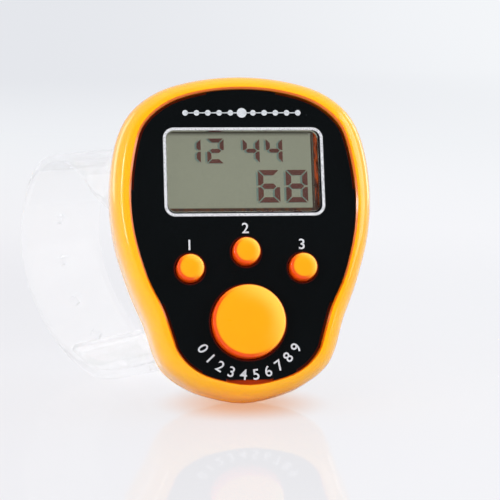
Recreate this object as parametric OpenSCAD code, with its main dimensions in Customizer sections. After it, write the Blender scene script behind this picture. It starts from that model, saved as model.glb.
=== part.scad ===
// Digital tally counter worn on the finger, on its clear strap.
// Each body part is drawn upright in the counter's own axes: X to the right, Y into the body
// from the front of the face plate, Z up along the plate from a reference line. stand() then
// leans it back and lifts it, so that its lowest edge and the strap loop rest on Z = 0.

/* [Case] */
// Width of the case
case_w = 33; // [31:0.5:36]
// Height of the case, along the plate
case_h = 41.15; // [40:0.05:45]
// Depth from the front of the face plate to the back of the case
case_d = 12; // [12:0.1:14]
// How far the case reaches below the reference line
case_drop = 20.5; // [20.3:0.1:22]
// Depth at which the front and rear shells meet
parting_y = 6.2; // [6:0.1:6.6]
// How far the rim's crest stands in front of the plate
rim_rise = 0.4; // [0.2:0.05:0.8]
// Depth over which the front edge rounds off
front_round_d = 4.6; // [3:0.2:5.4]
// Depth over which the rear edge rounds off
back_round_d = 4.4; // [3:0.2:5]
// How far the rear edge rounds inwards
back_round_in = 2.6; // [1.5:0.1:3]
// Thickness of the side walls
wall = 1.4; // [1.2:0.1:1.6]
// Thickness of the front wall behind the face plate
front_wall = 1.1; // [0.9:0.05:1.3]
// Thickness of the rear wall
back_wall = 1.6; // [1.4:0.05:1.8]
// Height of the locating lip where the shells meet
lip_h = 0.7; // [0.5:0.1:0.9]

/* [Face plate] */
// Width of the rim at the widest part of the plate
rim_side = 2.45; // [2.2:0.05:2.8]
// Width of the rim at the top
rim_top = 2.4; // [2.2:0.05:3]
// Width of the rim at the bottom
rim_low = 1.55; // [1.4:0.05:1.8]
// Thickness of the face plate
plate_t = 0.8; // [0.6:0.05:1]
// Thickness of the adhesive under the plate
glue_t = 0.1; // [0.05:0.01:0.15]
// Distance from the top of the case down to the middle of the window
window_fall = 12.87; // [12.6:0.01:13.4]

/* [Display] */
// Width of the display glass
glass_w = 20.4; // [20:0.1:20.8]
// Height of the front display glass, with its contact ledge
glass_h = 13.3; // [13:0.1:13.5]
// Height of the contact ledge along the bottom of the front glass
ledge_h = 1.65; // [1.4:0.05:1.8]
// Thickness of each display glass
glass_t = 0.7; // [0.5:0.05:0.8]
// Height of the large figures
large_h = 4.2; // [3.6:0.1:4.4]
// Height of the small figures
small_h = 3.2; // [2.6:0.1:3.4]

/* [Keys] */
// Diameter of the large key
count_dia = 9.04; // [8.4:0.1:9.2]
// Height of the large key above the plate
count_proud = 1.8; // [1.2:0.1:2.2]
// Travel of the large key
count_travel = 0.9; // [0.6:0.05:0.95]
// Diameter of the small keys
small_dia = 3.4; // [3:0.1:3.8]
// Height of the small keys above the plate
small_proud = 1.5; // [1:0.1:1.8]
// Travel of the small keys
small_travel = 0.7; // [0.5:0.05:0.8]
// Height of the large key above the bottom of the case
count_rise = 9.22; // [9:0.02:9.5]
// Height of the middle small key above the bottom of the case
set_rise = 17.98; // [17.9:0.02:18.1]
// Height of the outer small keys above the bottom of the case
side_rise = 15.95; // [15.5:0.05:16.2]
// Distance between the outer small keys
side_span = 14; // [13.6:0.1:14.6]

/* [Battery] */
// Diameter of the button cell
cell_dia = 11.6; // [11:0.1:11.6]
// Thickness of the button cell
cell_t = 3.05; // [2.9:0.05:3.1]

/* [Strap] */
// Width of the strap
strap_w = 15; // [13:0.5:15.4]
// Thickness of the strap
strap_t = 1.1; // [0.9:0.05:1.15]
// How far the loop reaches behind the case, along the strap's own line
loop_reach = 36.4; // [32:0.2:38]
// Height of the loop
loop_rise = 28.7; // [26:0.1:30]
// Angle by which the loop swings to the left
loop_swing = 45; // [30:1:48]
// Distance between the strap's holes
hole_pitch = 5.9; // [5:0.1:6.2]
// Diameter of the strap's holes
hole_dia = 1.5; // [1.2:0.05:1.6]
// Number of holes, with the one that the stud uses
hole_count = 7; // [3:1:8]

/* [Stance] */
// Angle by which the counter leans back
lean = 18; // [12:1:22]

/* [Hidden] */

$fn = 48;
overrun = 1;
slack = 0.05;
fit_gap = 0.15;

// Half outline of the case from the top middle down to the bottom middle, as shares of half
// the width and of the height
case_shares = [[0, 1], [0.333, 0.988], [0.629, 0.953], [0.844, 0.886], [0.958, 0.787], [1, 0.644],
    [0.97, 0.498], [0.866, 0.353], [0.756, 0.243], [0.701, 0.17], [0.665, 0.133], [0.61, 0.097],
    [0.495, 0.059], [0.31, 0.024], [0, 0]];
// The same points of the plate's recess
recess_shares = [[0, 1], [0.335, 0.989], [0.641, 0.953], [0.861, 0.884], [0.95, 0.794],
    [1, 0.649], [0.974, 0.509], [0.87, 0.362], [0.747, 0.262], [0.687, 0.195], [0.655, 0.155],
    [0.612, 0.109], [0.498, 0.059], [0.32, 0.023], [0, 0]];
outline_steps = 4;
round_steps = 7;
crest_share = 0.9;
rim_lip = 0.25;
seam_gap = 0.1;

// Depths, counted into the body from the front of the face plate
floor_y = plate_t + glue_t;
front_in_y = floor_y + front_wall;
back_in_y = case_d - back_wall;

// Heights from the reference line
case_top = case_h - case_drop;
recess_w = case_w - 2 * rim_side;
recess_h = case_h - rim_top - rim_low;
recess_drop = case_drop - rim_low;
window_z = case_top - window_fall;

// Plate details
plate_gap = 0.05;
tab_step = 0.25;
top_tab_w = 8.7;
side_tab_fall = 15.25;
side_tab_rise = 11.7;
low_tab_in = 2.9;
low_tab_out = 5.8;
notch_h = 0.6;
window_r = 1;
glass_side = 0.66;
glass_end = 0.605;
window_w = glass_w - 2 * glass_side;
window_h = glass_h - ledge_h - 2 * glass_end;
lens_flange = 0.75;
lens_flange_t = 0.5;
key_gap = 0.15;

// Display details
view_over = 0.36;
view_lift = 0.395;
seal_w = 0.7;
glass_low = window_z + view_lift - (glass_h + ledge_h) / 2;
polariser_x = -0.4;
polariser_lift = 0.35;
polariser_t = 0.2;
polariser_w = glass_w - 2 * seal_w;
polariser_h = glass_h - ledge_h - 2 * seal_w - slack;
polariser_low = glass_low + ledge_h + seal_w + polariser_lift;
figure_t = 0.08;
figure_w_share = 0.66;
stroke_share = 0.163;
split_share = 0.03;
figure_gap = 0.77;
figure_edge = 0.65;
figure_base = 0.85;
row_gap = 0.9;
small_edge = 2.77;
colon_gap = 1.6;
large_w = large_h * figure_w_share;
large_pitch = large_w + figure_gap;
large_x = polariser_x + polariser_w / 2 - figure_edge - large_w - large_pitch;
large_z = polariser_low + figure_base;
small_w = small_h * figure_w_share;
small_pitch = small_w + figure_gap + slack;
small_x = polariser_x - polariser_w / 2 + small_edge;
small_z = large_z + large_h + row_gap;
glass_y = front_in_y + slack + polariser_t;
figures_y = glass_y + glass_t;
rear_glass_y = figures_y + figure_t;
reflector_y = rear_glass_y + glass_t;
panel_y = reflector_y + polariser_t + slack;
rib_t = 0.75;
rib_d = reflector_y - front_in_y;
strip_t = 1.4;

// Board details
lip_t = 0.5;
board_t = 0.8;
panel_t = 0.77;
panel_w = polariser_w - 4 * slack;
board_y = panel_y + panel_t + slack;
board_back = board_y + board_t;
board_inset = wall + lip_t + 2 * fit_gap;
led_w = 1.2;
led_h = 1.6;
led_t = 0.7;
chip_r = 2.9;
chip_t = 0.95;
chip_rise = 12.5;
crystal_r = 1;
crystal_len = 6;
crystal_gap = 2.25;
crystal_lift = 0.4;
chip_part_w = 0.8;
chip_part_l = 1.6;
chip_part_t = 0.6;
part_pitch = 2.2;
part_x = 9;
part_rise = 14;

// Key details
key_edge = 0.35;
key_crown = 0.12;
flange_over = 0.6;
flange_t = 0.65;
sheet_t = 0.4;
sheet_gap = 0.5;
sheet_inset = board_inset + fit_gap;
dome_top_t = 0.45;
dome_wall = 0.35;
dome_share = 0.5;
foot_share = 0.76;
pill_t = 0.3;
pill_share = 0.3;
flange_y = front_in_y + slack;
dome_y = flange_y + flange_t;
sheet_y = board_y - sheet_t;

// Battery details
well_gap = 0.35;
well_t = 0.8;
cell_rise = 0.75;
cell_y = board_back + cell_rise;
cap_r = 4.6;
cap_t = 0.35;
well_y = cell_y + cap_t;
contact_t = 0.2;
contact_w = 2;
contact_gap = 0.03;
contact_foot = 1.9;
spring_len = 5;
door_over = 0.6;
door_gap = 0.15;
door_t = 1.1;
door_y = case_d - door_t;
door_rib_t = 0.7;
door_rib_inset = 0.6;
ear_r = 2.1;
ear_gap = 0.75;
well_r = cell_dia / 2 + well_gap;
ear_reach = well_r + well_t + ear_gap;
tab_w = 4;
tab_t = 0.7;
tab_reach = 1.2;
grip_w = 5;
grip_h = 0.5;
grip_pitch = 1;
grip_d = 0.3;

// Screw details
boss_r = 1.6;
tube_r = 2.1;
shank_r = 0.85;
head_r = 1.4;
head_t = 0.9;
screw_seat = 3.4;
screw_grip = 1;
slot_w = 0.35;
slot_d = 0.4;
bore_gap = 0.03;
top_boss_in = 6.5;
top_boss_fall = 4.55;
low_boss_in = 11;
low_boss_rise = 4.1;
board_boss_in = 4.8;
board_boss_rise = 19.5;
board_boss_r = 1.25;
small_shank_r = 0.5;
small_head_r = 1;
small_head_t = 0.5;
door_shank_r = 0.7;
door_head_r = 1.2;
door_head_t = 0.6;
door_boss_r = 1.5;
door_screw_len = 2.8;
case_boss = [for (s = [-1, 1]) each [[s * (case_w / 2 - top_boss_in), case_top - top_boss_fall],
    [s * (case_w / 2 - low_boss_in), low_boss_rise - case_drop]]];
board_boss = [for (s = [-1, 1]) [s * (case_w / 2 - board_boss_in), board_boss_rise - case_drop]];
screw_seat_y = case_d - screw_seat;
screw_tip_y = front_in_y + screw_grip;

// Strap pocket in the rear case
strap_gap = 0.15;
pocket_wall = 0.8;
strap_mid_y = back_in_y - strap_gap - strap_t / 2 - slack;
channel_y = strap_mid_y - strap_t / 2 - strap_gap - slack;
bridge_rise = 8;
bridge_h = 7.3;
low_slot_room = 0.8;
top_slot_room = 3.7;
low_bend_room = 0.7;
top_bend_room = 2.05;
top_bend_lead = 0.6;
bridge_low = bridge_rise - case_drop;
bridge_top = bridge_low + bridge_h;
low_slot_h = strap_t + low_slot_room;
top_slot_h = strap_t + top_slot_room;
low_bend_r = strap_t / 2 + low_bend_room;
top_bend_r = strap_t / 2 + top_bend_room;
pocket_x = strap_w / 2 + strap_gap;
pocket_low = bridge_low - low_slot_h;
pocket_top = bridge_top + top_slot_h;
cell_z = pocket_top + pocket_wall + tab_reach + well_r - fit_gap;
top_turn = 38;
exit_run = 0.6;
exit_low_z = bridge_low - low_slot_h / 2 - slack;

// Strap loop: places along the outside run, from the top slot round to the loose end, as
// shares of the reach and of the rise
loop_shares = [[0.33, 0.665], [0.585, 0.818], [0.695, 0.95], [0.797, 1], [0.896, 0.958],
    [0.973, 0.804], [1, 0.573], [0.956, 0.364], [0.863, 0.186], [0.758, 0.07], [0.643, 0],
    [0.536, 0.003], [0.357, 0.05], [0.16, 0.095]];
loop_lead = 3.7;
loop_turn_r = 1.5;
twist_run = 16.5;
layer_gap = 0.12;
lap_share = 0.76;
stud_share = 0.4;
strap_steps = 4;
bend_steps = 4;
stud_gap = 0.1;
stud_r = hole_dia / 2 - stud_gap;
stud_head_r = 1.5;
stud_head_t = 0.55;
seat_d = stud_head_t + 2 * slack;

// Closed smooth outline through a half outline and its mirror image
function mirrored(s) = concat(s, [for (i = [len(s) - 2 : -1 : 1]) [-s[i].x, s[i].y]]);
function knot(p, i) = p[(i + len(p)) % len(p)];
function eased(a, b, c, d, t) = (2 * b + (c - a) * t + (2 * a - 5 * b + 4 * c - d) * t * t
    + (3 * b - a - 3 * c + d) * t * t * t) / 2;
function outline(shares, w, h, drop) = let (p = mirrored(shares))
    [for (i = [0 : len(p) - 1], k = [0 : outline_steps - 1])
        let (q = eased(knot(p, i - 1), p[i], knot(p, i + 1), knot(p, i + 2), k / outline_steps))
        [q.x * w / 2, q.y * h - drop]];
function between(a, b, s) = [for (i = [0 : len(a) - 1]) a[i] + (b[i] - a[i]) * s];
function inset(p, d) = [for (i = [0 : len(p) - 1])
    let (t = knot(p, i + 1) - knot(p, i - 1)) p[i] + d * [t.y, -t.x] / norm(t)];

case_line = outline(case_shares, case_w, case_h, case_drop);
recess_line = outline(recess_shares, recess_w, recess_h, recess_drop);

// Sections of the shells, each a closed line and its depth
front_rings = concat([[recess_line, rim_lip - rim_rise]],
    [for (k = [round_steps : -1 : 0]) let (a = 90 * k / round_steps)
        [between(case_line, recess_line, crest_share * (1 - cos(a))),
            front_round_d * (1 - sin(a)) - rim_rise]],
    [[case_line, parting_y - seam_gap / 2]]);
back_rings = concat([[case_line, parting_y + seam_gap / 2]],
    [for (k = [0 : round_steps]) let (a = 90 * k / round_steps)
        [inset(case_line, back_round_in * (1 - cos(a))), case_d - back_round_d * (1 - sin(a))]]);

// Leaned side view of a place in the body: [Y, Z]
function leaned(y, z) = [y * cos(lean) + z * sin(lean), z * cos(lean) - y * sin(lean)];
heel = [for (r = back_rings) leaned(r[1], min([for (p = r[0]) p.y]))];
heel_z = min([for (p = heel) p.y]);
heel_y = [for (p = heel) if (p.y == heel_z) p.x][0];
function placed(y, z) = leaned(y, z) - [heel_y, heel_z];

module stand() translate([0, -heel_y, -heel_z]) rotate([-lean, 0, 0]) children();

// A flat shape in X and Z, solid from depth y0 to depth y1
module slab(y0, y1) translate([0, y1, 0]) rotate([90, 0, 0]) linear_extrude(y1 - y0) children();

// A round bar along the depth
module bar(at, y0, y1, r) translate([at.x, y1, at.y]) rotate([90, 0, 0]) cylinder(r = r, h = y1 - y0);

// A turned solid along the depth, from a profile of [radius, depth]
module turned(at, profile) translate([at.x, 0, at.y]) rotate([-90, 0, 0]) rotate_extrude() polygon(profile);

module block(x, y, z) translate([x[0], y[0], z[0]]) cube([x[1] - x[0], y[1] - y[0], z[1] - z[0]]);

module rounded(w, h, r) {
    square([w - 2 * r, h], center = true);
    square([w, h - 2 * r], center = true);
    for (x = [-1, 1], z = [-1, 1]) translate([x * (w / 2 - r), z * (h / 2 - r)]) circle(r = r);
}

// A closed shell through a list of sections
module loft(rings) {
    n = len(rings[0][0]);
    last = len(rings) - 1;
    points = [for (r = rings, p = r[0]) [p.x, r[1], p.y]];
    sides = [for (j = [0 : last - 1], i = [0 : n - 1]) let (a = j * n, b = a + n, k = (i + 1) % n)
        each [[a + i, b + i, b + k], [a + i, b + k, a + k]]];
    polyhedron(points, concat([[for (i = [0 : n - 1]) i]], sides,
        [[for (i = [n - 1 : -1 : 0]) last * n + i]]));
}

// Places of the keys: middle and radius
count_at = [0, count_rise - case_drop];
mode_at = [-side_span / 2, side_rise - case_drop];
set_at = [0, set_rise - case_drop];
light_at = [side_span / 2, side_rise - case_drop];
count_r = count_dia / 2;
small_r = small_dia / 2;
keys = [[count_at, count_r], [mode_at, small_r], [set_at, small_r], [light_at, small_r]];

module window_shape(over) translate([0, window_z])
    rounded(window_w + 2 * over, window_h + 2 * over, window_r + over);

module key_holes(y0, y1) for (k = keys) bar(k[0], y0, y1, k[1] + key_gap);

// Front shell, with its recess, window, key holes, bosses and display ribs
module front_case() stand() color("orange") {
    low_z = glass_low - fit_gap;
    top_z = low_z + glass_h + 2 * fit_gap;
    side_x = glass_w / 2 + fit_gap;
    difference() {
        union() {
            difference() {
                loft(front_rings);
                slab(-rim_rise - overrun, floor_y) polygon(recess_line);
                slab(front_in_y, parting_y + overrun) polygon(inset(case_line, wall));
                slab(0, plate_t + lens_flange_t + slack) window_shape(lens_flange + fit_gap);
                slab(floor_y, front_in_y + overrun) window_shape(view_over);
                key_holes(0, front_in_y + overrun);
            }
            intersection() {
                for (b = case_boss) bar(b, front_in_y - slack, parting_y - seam_gap / 2, boss_r);
                slab(0, parting_y) polygon(inset(case_line, wall / 2));
            }
            for (b = board_boss) bar(b, front_in_y - slack, board_y, board_boss_r);
            for (x = [-side_x - rib_t, side_x]) block([x, x + rib_t],
                [front_in_y - slack, front_in_y + rib_d], [low_z + ledge_h, top_z + rib_t]);
            block([-glass_w / 3, glass_w / 3], [front_in_y - slack, front_in_y + rib_d],
                [top_z, top_z + rib_t]);
        }
        for (b = case_boss) bar(b, screw_tip_y - slack, parting_y + overrun, shank_r + bore_gap);
        for (b = board_boss) bar(b, front_in_y, board_y + overrun, small_shank_r + bore_gap);
    }
}

module door_shape(gap) {
    translate([0, cell_z]) circle(r = well_r + door_over + gap);
    translate([-ear_r - gap, cell_z]) square([2 * (ear_r + gap), ear_reach]);
    translate([0, cell_z + ear_reach]) circle(r = ear_r + gap);
}

module strap_slot(low, high) block([-pocket_x, pocket_x], [channel_y, case_d + overrun], [low, high]);

// Rear shell, with the battery well, the strap pocket and its two slots, and the screw tubes
module rear_case() stand() color("orange") {
    door_screw = [0, cell_z + ear_reach];
    difference() {
        union() {
            difference() {
                loft(back_rings);
                slab(parting_y - overrun, back_in_y) polygon(inset(case_line, wall + fit_gap));
            }
            difference() {
                slab(parting_y - lip_h, back_in_y) polygon(inset(case_line, wall + fit_gap));
                slab(parting_y - lip_h - overrun, back_in_y + overrun)
                    polygon(inset(case_line, wall + fit_gap + lip_t));
                for (b = case_boss) bar(b, 0, parting_y + seam_gap, boss_r + fit_gap);
            }
            bar([0, cell_z], well_y, back_in_y + slack, well_r + well_t);
            intersection() {
                for (b = case_boss) bar(b, parting_y + seam_gap / 2, case_d, tube_r);
                loft(back_rings);
            }
            bar(door_screw, door_y - door_screw_len - door_t, case_d - back_wall / 2, door_boss_r);
            block([-pocket_x - pocket_wall, pocket_x + pocket_wall],
                [channel_y - pocket_wall, back_in_y + slack],
                [pocket_low - pocket_wall, pocket_top + pocket_wall / 2]);
        }
        bar([0, cell_z], parting_y, case_d, well_r);
        slab(door_y, case_d + overrun) door_shape(door_gap);
        bar(door_screw, door_y - door_screw_len - slack, case_d, door_shank_r + bore_gap);
        block([-tab_w / 2 - fit_gap, tab_w / 2 + fit_gap],
            [back_in_y - tab_t - 2 * fit_gap, back_in_y],
            [cell_z - well_r - tab_reach - fit_gap, cell_z]);
        strap_slot(pocket_low, bridge_low);
        strap_slot(bridge_top, pocket_top);
        block([-pocket_x, pocket_x], [channel_y, back_in_y], [pocket_low, pocket_top]);
        for (b = case_boss) {
            bar(b, parting_y - overrun, case_d, shank_r + fit_gap);
            bar(b, screw_seat_y, case_d + overrun, head_r + fit_gap);
        }
    }
}

// Black plate with the window, the key holes and its stepped edge
module face_plate() stand() color("black") difference() {
    full = inset(recess_line, plate_gap);
    union() {
        slab(0, plate_t) polygon(inset(recess_line, plate_gap + tab_step));
        intersection() {
            slab(0, plate_t) polygon(full);
            union() {
                block([-top_tab_w / 2, top_tab_w / 2], [-overrun, plate_t + overrun], [0, recess_h]);
                block([-recess_w, recess_w], [-overrun, plate_t + overrun],
                    [side_tab_rise - case_drop, case_top - side_tab_fall]);
                for (s = [-1, 1]) block(s > 0 ? [low_tab_in, low_tab_out] : [-low_tab_out, -low_tab_in],
                    [-overrun, plate_t + overrun], [-recess_drop - overrun, count_at.y - count_r]);
            }
        }
    }
    block([-low_tab_in, low_tab_in], [-overrun, plate_t + overrun],
        [-recess_drop - overrun, notch_h - recess_drop]);
    slab(-overrun, plate_t + overrun) window_shape(0);
    key_holes(-overrun, plate_t + overrun);
}

module plate_adhesive() stand() color("lightgrey") slab(plate_t, floor_y) difference() {
    polygon(inset(recess_line, plate_gap + 2 * tab_step + notch_h));
    window_shape(lens_flange + 2 * fit_gap);
    for (k = keys) translate(k[0]) circle(r = k[1] + 2 * key_gap);
}

// Clear lens that fills the plate's window, with a flange behind the plate
module window_lens() stand() color("azure", 0.4) {
    slab(slack, plate_t) window_shape(-slack);
    slab(plate_t, plate_t + lens_flange_t) window_shape(lens_flange);
}

// A flat layer of the display: depth, thickness, then middle, width, height and lower edge
module layer(y, t, x, w, h, low) slab(y, y + t) translate([x - w / 2, low]) square([w, h]);

module lcd_front_polariser() stand() color("darkseagreen", 0.5)
    layer(glass_y - polariser_t, polariser_t, polariser_x, polariser_w, polariser_h, polariser_low);

module lcd_front_glass() stand() color("lightcyan", 0.4)
    layer(glass_y, glass_t, 0, glass_w, glass_h, glass_low);

module lcd_rear_glass() stand() color("lightcyan", 0.4)
    layer(rear_glass_y, glass_t, 0, glass_w, glass_h - ledge_h, glass_low + ledge_h);

module lcd_rear_polariser() stand() color("darkseagreen")
    layer(reflector_y, polariser_t, polariser_x, polariser_w, polariser_h, polariser_low);

module backlight_panel() stand() color("white", 0.7)
    layer(panel_y, panel_t, polariser_x, panel_w, polariser_h, polariser_low);

module backlight_led() stand() color("lightyellow")
    layer(board_y - led_t, led_t, polariser_x + panel_w / 2 + fit_gap + led_w / 2, led_w, led_h, cell_z);

module contact_strip() stand() color("dimgrey") layer(figures_y, board_y - figures_y, 0,
    glass_w - 2 * fit_gap, strip_t, glass_low + (ledge_h - strip_t) / 2);

// One bar of a figure: 0 top, 1 and 2 right, 3 bottom, 4 and 5 left, 6 middle
module figure_bar(i, w, h) {
    t = h * stroke_share;
    g = h * split_share;
    flat = [[g, h], [w - g, h], [w - t - g, h - t], [t + g, h - t]];
    side = [[0, h - g], [t, h - t - g], [t, h / 2 + t / 2 + g], [t / 2, h / 2 + g], [0, h / 2 + g]];
    if (i == 0) polygon(flat);
    if (i == 3) translate([0, h]) mirror([0, 1]) polygon(flat);
    if (i == 5) polygon(side);
    if (i == 1) translate([w, 0]) mirror([1, 0]) polygon(side);
    if (i == 4) translate([0, h]) mirror([0, 1]) polygon(side);
    if (i == 2) translate([w, h]) mirror([1, 0]) mirror([0, 1]) polygon(side);
    if (i == 6) polygon([[t / 2 + g, h / 2], [t + g, h / 2 + t / 2], [w - t - g, h / 2 + t / 2],
        [w - t / 2 - g, h / 2], [w - t - g, h / 2 - t / 2], [t + g, h / 2 - t / 2]]);
}

// Bars that are dark in each figure
lit = [[], [1, 2], [0, 1, 3, 4, 6], [], [1, 2, 5, 6], [], [0, 2, 3, 4, 5, 6], [], [0, 1, 2, 3, 4, 5, 6]];

module figure(n, x, z, w, h) translate([x, z]) for (i = lit[n]) figure_bar(i, w, h);

// Plain numbers shown on the display: two small pairs over one large pair
module lcd_figures() stand() color("saddlebrown") slab(figures_y, figures_y + figure_t) {
    small = [1, 2, 4, 4];
    large = [6, 8];
    for (i = [0 : 3]) figure(small[i], small_x + i * small_pitch + (i > 1 ? colon_gap : 0), small_z,
        small_w, small_h);
    for (i = [0 : 1]) figure(large[i], large_x + i * large_pitch, large_z, large_w, large_h);
}

// Board that fills the case, clear of the case screws' bosses
module circuit_board() stand() color("darkgreen") difference() {
    slab(board_y, board_back) polygon(inset(case_line, board_inset));
    for (b = case_boss) bar(b, board_y - overrun, board_back + overrun, boss_r + 2 * fit_gap);
    for (b = board_boss) bar(b, board_y - overrun, board_back + overrun, small_shank_r + fit_gap);
}

module chip_cover() stand() color("black") turned([0, chip_rise - case_drop], [[0, board_back],
    [chip_r, board_back], [chip_r, board_back + chip_t / 3], [chip_r * 2 / 3, board_back + chip_t],
    [0, board_back + chip_t]]);

module clock_crystal() stand() color("silver")
    translate([well_r + well_t + crystal_r + crystal_gap, board_back + crystal_r,
        cell_z + crystal_lift - crystal_len / 2])
    cylinder(r = crystal_r, h = crystal_len);

module chip_part(x, z) block([x - chip_part_w / 2, x + chip_part_w / 2],
    [board_back, board_back + chip_part_t], [z - chip_part_l / 2, z + chip_part_l / 2]);

module capacitors() stand() color("tan") for (i = [0 : 1])
    chip_part(-part_x, part_rise - case_drop + part_pitch * i);

module resistors() stand() color("black") for (i = [0 : 1])
    chip_part(part_x, part_rise - case_drop + part_pitch * i);

// A key: a round cap with a softened edge, and the flange that keeps it in
module key(at, r, proud) turned(at, concat([[0, dome_y], [r + flange_over, dome_y],
    [r + flange_over, flange_y], [r, flange_y], [r, key_edge + key_crown - proud]],
    [for (a = [30 : 30 : 90]) [r - key_edge * (1 - cos(a)), key_edge * (1 - sin(a)) + key_crown - proud]],
    [[r / 2, key_crown / 4 - proud], [0, -proud]]));

module count_key() stand() color("orange") key(count_at, count_r, count_proud);
module mode_key() stand() color("orange") key(mode_at, small_r, small_proud);
module set_key() stand() color("orange") key(set_at, small_r, small_proud);
module light_key() stand() color("orange") key(light_at, small_r, small_proud);

function foot_r(r) = r * foot_share + (r < small_r + slack ? dome_wall : 0);

// Rubber sheet on the board, open where each dome stands
module keypad_sheet() stand() color("gainsboro") difference() {
    slab(sheet_y, board_y) polygon(inset(case_line, sheet_inset));
    block([-case_w, case_w], [0, case_d], [glass_low - sheet_gap, case_h]);
    for (k = keys) bar(k[0], 0, case_d, foot_r(k[1]));
    for (b = case_boss) bar(b, 0, case_d, boss_r + fit_gap);
    for (b = board_boss) bar(b, 0, case_d, board_boss_r + fit_gap);
}

// A hollow rubber dome under a key, with the button that carries the carbon pill
module dome(at, r, travel) {
    foot = foot_r(r);
    top = r * dome_share;
    pill = r * pill_share;
    under = dome_y + dome_top_t;
    turned(at, [[0, dome_y], [top, dome_y], [foot - dome_wall, sheet_y - slack], [foot, sheet_y],
        [foot, board_y], [foot - dome_wall, board_y], [foot - 2 * dome_wall, sheet_y],
        [top - dome_wall / 2, under], [pill, under], [pill, board_y - travel - pill_t],
        [0, board_y - travel - pill_t]]);
}

module count_dome() stand() color("gainsboro") dome(count_at, count_r, count_travel);
module mode_dome() stand() color("gainsboro") dome(mode_at, small_r, small_travel);
module set_dome() stand() color("gainsboro") dome(set_at, small_r, small_travel);
module light_dome() stand() color("gainsboro") dome(light_at, small_r, small_travel);

module pill(at, r, travel) bar(at, board_y - travel - pill_t, board_y - travel - slack, r * pill_share);

module count_pill() stand() color("black") pill(count_at, count_r, count_travel);
module mode_pill() stand() color("black") pill(mode_at, small_r, small_travel);
module set_pill() stand() color("black") pill(set_at, small_r, small_travel);
module light_pill() stand() color("black") pill(light_at, small_r, small_travel);

// Button cell: the can, with the narrower cap towards the board
module button_cell() stand() color("silver") turned([0, cell_z], [[0, cell_y], [cap_r, cell_y],
    [cap_r, cell_y + cap_t], [cell_dia / 2 - cap_t / 2, cell_y + cap_t],
    [cell_dia / 2, cell_y + 2 * cap_t], [cell_dia / 2, cell_y + cell_t], [0, cell_y + cell_t]]);

// Leaf that rises from the board along the side of the cell
module positive_contact() stand() color("gold") {
    x = cell_dia / 2 + contact_gap;
    z = [cell_z - contact_w / 2, cell_z + contact_w / 2];
    block([x, x + contact_foot], [board_back, board_back + contact_t], z);
    block([x, x + contact_t], [board_back, cell_y + cell_t / 2], z);
}

// Arched leaf between the board and the cell's cap
module negative_contact() stand() color("gold") {
    top = cell_y - contact_gap;
    low = board_back + contact_t;
    h = spring_len / 2;
    translate([0, 0, cell_z - contact_w / 2]) linear_extrude(contact_w) polygon([[-h, board_back],
        [-h, low], [-h / 2, low], [-h / 4, top], [h / 4, top], [h / 2, low], [h, low], [h, board_back],
        [h / 2 - contact_t / 2, board_back], [h / 4 - contact_t / 2, top - contact_t],
        [contact_t / 2 - h / 4, top - contact_t], [contact_t / 2 - h / 2, board_back]]);
}

// Door with its retaining tab, the ring that presses the cell, grip grooves and screw ear
module battery_door() stand() color("orange") {
    tab_low = cell_z - sqrt(well_r * well_r - tab_w * tab_w / 4) + fit_gap;
    rib_r = cell_dia / 2 - door_rib_inset;
    screw = [0, cell_z + ear_reach];
    difference() {
        slab(door_y, case_d) door_shape(0);
        bar(screw, door_y - overrun, case_d + overrun, door_shank_r + fit_gap);
        bar(screw, case_d - door_head_t, case_d + overrun, door_head_r + fit_gap);
        for (i = [-2 : 2]) block([-grip_w / 2, grip_w / 2], [case_d - grip_d, case_d + overrun],
            [cell_z + i * grip_pitch - grip_h / 2, cell_z + i * grip_pitch + grip_h / 2]);
    }
    difference() {
        bar([0, cell_z], cell_y + cell_t + slack, door_y + slack, rib_r);
        bar([0, cell_z], cell_y, door_y + overrun, rib_r - door_rib_t);
    }
    intersection() {
        block([-tab_w / 2, tab_w / 2], [back_in_y - tab_t - fit_gap, back_in_y - fit_gap],
            [cell_z - well_r - tab_reach, cell_z - rib_r + door_rib_t / 2]);
        slab(0, case_d) translate([0, cell_z]) circle(r = well_r + tab_reach);
    }
    block([-tab_w / 2, tab_w / 2], [back_in_y - tab_t - fit_gap, door_y + slack],
        [tab_low, cell_z - rib_r + door_rib_t / 2]);
}

// A screw: its head at the given depth, with a cross slot, and its shank towards the front
module screw(at, seat, tip, r, hr, ht) difference() {
    turned(at, [[0, tip], [r / 2, tip], [r, tip + r], [r, seat], [hr, seat], [hr, seat + ht * 2 / 3],
        [hr - ht / 3, seat + ht], [0, seat + ht]]);
    for (s = [[slot_w / 2, hr * 2 / 3], [hr * 2 / 3, slot_w / 2]]) block([at.x - s.x, at.x + s.x],
        [seat + ht - slot_d, seat + ht + overrun], [at.y - s.y, at.y + s.y]);
}

module battery_door_screw() stand() color("silver") screw([0, cell_z + ear_reach], case_d - door_head_t,
    door_y - door_screw_len + slack, door_shank_r, door_head_r, door_head_t - slack);

module case_screws() stand() color("silver") for (b = case_boss)
    screw(b, screw_seat_y, screw_tip_y + slack, shank_r, head_r, head_t);

module board_screws() stand() color("silver") for (b = board_boss)
    screw(b, board_back, front_in_y + fit_gap, small_shank_r, small_head_r, small_head_t);

// Plan of the strap: straight behind the slots, then swung to the left. u runs along the
// strap's own line from the lower slot; the strap's width turns more slowly than its line
start_y = placed(case_d + exit_run, exit_low_z)[0];
function swing(u) = norm([max(u - loop_lead, 0), loop_turn_r]) - loop_turn_r;
function plan(u) = [-sin(loop_swing) * swing(u), start_y + u - (1 - cos(loop_swing)) * swing(u)];
function across(u) = let (t = min(max(u - loop_lead, 0) / twist_run, 1),
    a = loop_swing * t * t * (3 - 2 * t)) [cos(a), sin(a), 0];

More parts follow.
